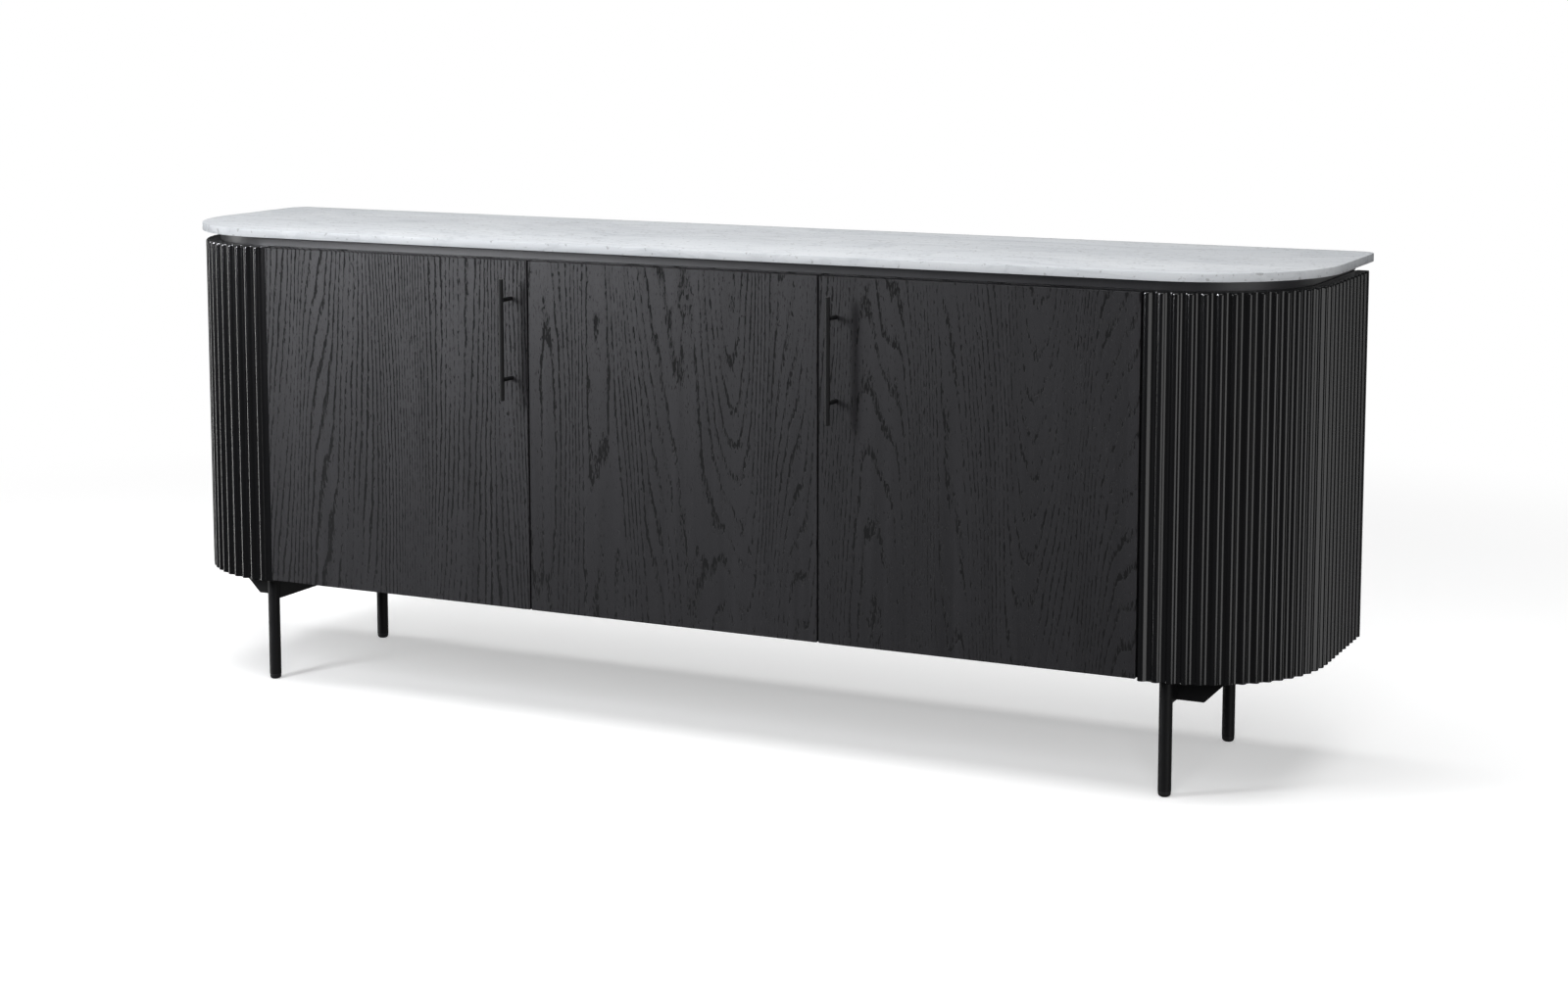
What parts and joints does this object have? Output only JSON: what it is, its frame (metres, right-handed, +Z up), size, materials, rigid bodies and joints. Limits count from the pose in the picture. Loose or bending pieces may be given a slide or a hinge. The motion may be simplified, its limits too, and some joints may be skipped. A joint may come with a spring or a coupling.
{
  "type": "sideboard buffet",
  "caption": "Long low sideboard with hinged flat doors, fluted round corners, a thin stone top on a recessed band, bar handles and slim round legs.",
  "frame": {"origin": "on the floor under the centre of the bounding box, handles included", "axes": "+X along the width, to the right seen from the front; -Y out of the doors; +Z up"},
  "size_m": [2, 0.462, 0.78],
  "materials": {
    "marble": "honed white marble with faint grey veins",
    "oak_veneer": "black-stained oak veneer, open grain, matt lacquer",
    "satin_lacquer": "satin black lacquer on bent and routed board",
    "powder_coat": "matt black powder coat",
    "nickel": "nickel-plated steel",
    "plastic": "moulded black plastic"
  },
  "bodies": {
    "cabinet": {"marble_top": "marble", "top_spacer": "satin_lacquer", "carcass_top": "oak_veneer", "carcass_bottom": "oak_veneer", "end_panel_left": "oak_veneer", "end_panel_right": "oak_veneer", "partition_left": "oak_veneer", "partition_right": "oak_veneer", "back_panel": "oak_veneer", "fluted_corner_left": "satin_lacquer", "fluted_corner_right": "satin_lacquer", "shelf_left": "oak_veneer", "shelf_center": "oak_veneer", "shelf_right": "oak_veneer", "leg_front_left": "powder_coat", "leg_front_right": "powder_coat", "leg_rear_left": "powder_coat", "leg_rear_right": "powder_coat", "foot_glide_front_left": "plastic", "foot_glide_front_right": "plastic", "foot_glide_rear_left": "plastic", "foot_glide_rear_right": "plastic", "leg_rail_left": "powder_coat", "leg_rail_right": "powder_coat", "leg_bracket_front_left": "powder_coat", "leg_bracket_front_right": "powder_coat", "leg_bracket_rear_left": "powder_coat", "leg_bracket_rear_right": "powder_coat", "leg_flange_left": "powder_coat", "leg_flange_right": "powder_coat", "push_latch_body": "plastic", "hinge_arm_left_lower": "nickel", "hinge_plate_left_lower": "nickel", "hinge_arm_left_upper": "nickel", "hinge_plate_left_upper": "nickel", "hinge_arm_center_lower": "nickel", "hinge_plate_center_lower": "nickel", "hinge_arm_center_upper": "nickel", "hinge_plate_center_upper": "nickel", "hinge_arm_right_lower": "nickel", "hinge_plate_right_lower": "nickel", "hinge_arm_right_upper": "nickel", "hinge_plate_right_upper": "nickel"},
    "left_door": {"door_left": "oak_veneer", "hinge_cup_left_lower": "nickel", "hinge_cup_left_upper": "nickel", "handle_bar_left": "powder_coat", "handle_post_left_lower": "powder_coat", "handle_post_left_upper": "powder_coat"},
    "center_door": {"door_center": "oak_veneer", "hinge_cup_center_lower": "nickel", "hinge_cup_center_upper": "nickel", "push_latch_strike": "nickel"},
    "right_door": {"door_right": "oak_veneer", "hinge_cup_right_lower": "nickel", "hinge_cup_right_upper": "nickel", "handle_bar_right": "powder_coat", "handle_post_right_lower": "powder_coat", "handle_post_right_upper": "powder_coat"},
    "latch_plunger": {"push_latch_plunger": "plastic"}
  },
  "joints": [
    {"name": "door_left_hinge", "type": "hinge", "parent": "cabinet", "child": "left_door", "pos_m": [-0.7635, -0.196, 0.467], "axis": [0, 0, -1], "range_deg": [0, 95]},
    {"name": "door_center_hinge", "type": "hinge", "parent": "cabinet", "child": "center_door", "pos_m": [0.2535, -0.196, 0.467], "axis": [0, 0, 1], "range_deg": [0, 95]},
    {"name": "door_right_hinge", "type": "hinge", "parent": "cabinet", "child": "right_door", "pos_m": [0.7635, -0.196, 0.467], "axis": [0, 0, 1], "range_deg": [0, 95]},
    {"name": "latch_press", "type": "slide", "parent": "cabinet", "child": "latch_plunger", "axis": [0, 1, 0], "range_m": [0, 0.003], "stiffness_N_per_m": 300, "springref_m": -0.002}
  ]
}
